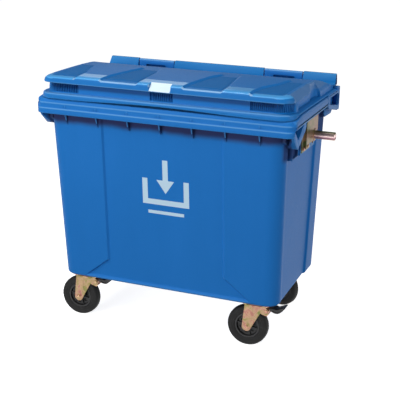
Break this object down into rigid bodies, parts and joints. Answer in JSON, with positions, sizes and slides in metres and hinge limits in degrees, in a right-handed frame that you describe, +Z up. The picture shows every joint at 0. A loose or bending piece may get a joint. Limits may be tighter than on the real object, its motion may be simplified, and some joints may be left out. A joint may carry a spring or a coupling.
{
  "type": "four-wheeled waste container",
  "caption": "Large moulded plastic waste container on swivel castors, with a flat hinged lid, side lifting trunnions, rear grip handles and braked front castors.",
  "frame": {"origin": "on the floor, under the middle of the container's bounding box", "axes": "+X to the right seen from the front, along the container's length; -Y is the front; +Z up"},
  "size_m": [1.37, 0.77, 1.241],
  "materials": {
    "blue_hdpe": "satin moulded polyethylene",
    "yellow_zinc_steel": "yellow passivated zinc plate, faintly iridescent",
    "black_plastic": "moulded black plastic",
    "black_rubber": "solid rubber tyre"
  },
  "bodies": {
    "container": {"tub": "blue_hdpe", "drain_plug": "black_plastic", "trunnion_bracket_left": "yellow_zinc_steel", "trunnion_pin_left": "yellow_zinc_steel", "bracket_bolt_left_front": "yellow_zinc_steel", "bracket_bolt_left_rear": "yellow_zinc_steel", "trunnion_bracket_right": "yellow_zinc_steel", "trunnion_pin_right": "yellow_zinc_steel", "bracket_bolt_right_front": "yellow_zinc_steel", "bracket_bolt_right_rear": "yellow_zinc_steel", "castor_plate_front_left": "yellow_zinc_steel", "castor_bolt_front_left_1": "yellow_zinc_steel", "castor_bolt_front_left_2": "yellow_zinc_steel", "castor_bolt_front_left_3": "yellow_zinc_steel", "castor_bolt_front_left_4": "yellow_zinc_steel", "castor_plate_front_right": "yellow_zinc_steel", "castor_bolt_front_right_1": "yellow_zinc_steel", "castor_bolt_front_right_2": "yellow_zinc_steel", "castor_bolt_front_right_3": "yellow_zinc_steel", "castor_bolt_front_right_4": "yellow_zinc_steel", "castor_plate_rear_left": "yellow_zinc_steel", "castor_bolt_rear_left_1": "yellow_zinc_steel", "castor_bolt_rear_left_2": "yellow_zinc_steel", "castor_bolt_rear_left_3": "yellow_zinc_steel", "castor_bolt_rear_left_4": "yellow_zinc_steel", "castor_plate_rear_right": "yellow_zinc_steel", "castor_bolt_rear_right_1": "yellow_zinc_steel", "castor_bolt_rear_right_2": "yellow_zinc_steel", "castor_bolt_rear_right_3": "yellow_zinc_steel", "castor_bolt_rear_right_4": "yellow_zinc_steel"},
    "lid": {"lid": "blue_hdpe", "hinge_pin_left": "yellow_zinc_steel", "hinge_pin_right": "yellow_zinc_steel"},
    "fork_front_left": {"castor_fork_front_left": "yellow_zinc_steel", "axle_bolt_front_left": "yellow_zinc_steel", "axle_nut_front_left": "yellow_zinc_steel", "brake_pin_front_left": "yellow_zinc_steel"},
    "wheel_front_left": {"wheel_hub_front_left": "black_plastic", "wheel_tyre_front_left": "black_rubber"},
    "brake_front_left": {"brake_pedal_front_left": "black_plastic", "brake_cam_front_left": "yellow_zinc_steel"},
    "fork_front_right": {"castor_fork_front_right": "yellow_zinc_steel", "axle_bolt_front_right": "yellow_zinc_steel", "axle_nut_front_right": "yellow_zinc_steel", "brake_pin_front_right": "yellow_zinc_steel"},
    "wheel_front_right": {"wheel_hub_front_right": "black_plastic", "wheel_tyre_front_right": "black_rubber"},
    "brake_front_right": {"brake_pedal_front_right": "black_plastic", "brake_cam_front_right": "yellow_zinc_steel"},
    "fork_rear_left": {"castor_fork_rear_left": "yellow_zinc_steel", "axle_bolt_rear_left": "yellow_zinc_steel", "axle_nut_rear_left": "yellow_zinc_steel"},
    "wheel_rear_left": {"wheel_hub_rear_left": "black_plastic", "wheel_tyre_rear_left": "black_rubber"},
    "fork_rear_right": {"castor_fork_rear_right": "yellow_zinc_steel", "axle_bolt_rear_right": "yellow_zinc_steel", "axle_nut_rear_right": "yellow_zinc_steel"},
    "wheel_rear_right": {"wheel_hub_rear_right": "black_plastic", "wheel_tyre_rear_right": "black_rubber"}
  },
  "joints": [
    {"name": "lid_hinge", "type": "hinge", "parent": "container", "child": "lid", "pos_m": [0, 0.374, 1.205], "axis": [-1, 0, 0], "range_deg": [0, 265]},
    {"name": "swivel_front_left", "type": "hinge", "parent": "container", "child": "fork_front_left", "pos_m": [-0.445, -0.22, 0.2], "axis": [0, 0, 1], "continuous": true},
    {"name": "wheel_spin_front_left", "type": "hinge", "parent": "fork_front_left", "child": "wheel_front_left", "pos_m": [-0.491, -0.22, 0.1], "axis": [0, 1, 0], "continuous": true},
    {"name": "brake_front_left", "type": "hinge", "parent": "fork_front_left", "child": "brake_front_left", "pos_m": [-0.395, -0.22, 0.192], "axis": [0, 1, 0], "range_deg": [0, 12]},
    {"name": "swivel_front_right", "type": "hinge", "parent": "container", "child": "fork_front_right", "pos_m": [0.445, -0.22, 0.2], "axis": [0, 0, 1], "continuous": true},
    {"name": "wheel_spin_front_right", "type": "hinge", "parent": "fork_front_right", "child": "wheel_front_right", "pos_m": [0.399, -0.22, 0.1], "axis": [0, 1, 0], "continuous": true},
    {"name": "brake_front_right", "type": "hinge", "parent": "fork_front_right", "child": "brake_front_right", "pos_m": [0.495, -0.22, 0.192], "axis": [0, 1, 0], "range_deg": [0, 12]},
    {"name": "swivel_rear_left", "type": "hinge", "parent": "container", "child": "fork_rear_left", "pos_m": [-0.445, 0.284, 0.2], "axis": [0, 0, 1], "continuous": true},
    {"name": "wheel_spin_rear_left", "type": "hinge", "parent": "fork_rear_left", "child": "wheel_rear_left", "pos_m": [-0.48823, 0.29973, 0.1], "axis": [0.342, 0.9397, 0], "continuous": true},
    {"name": "swivel_rear_right", "type": "hinge", "parent": "container", "child": "fork_rear_right", "pos_m": [0.445, 0.284, 0.2], "axis": [0, 0, 1], "continuous": true},
    {"name": "wheel_spin_rear_right", "type": "hinge", "parent": "fork_rear_right", "child": "wheel_rear_right", "pos_m": [0.40177, 0.29973, 0.1], "axis": [0.342, 0.9397, 0], "continuous": true}
  ]
}
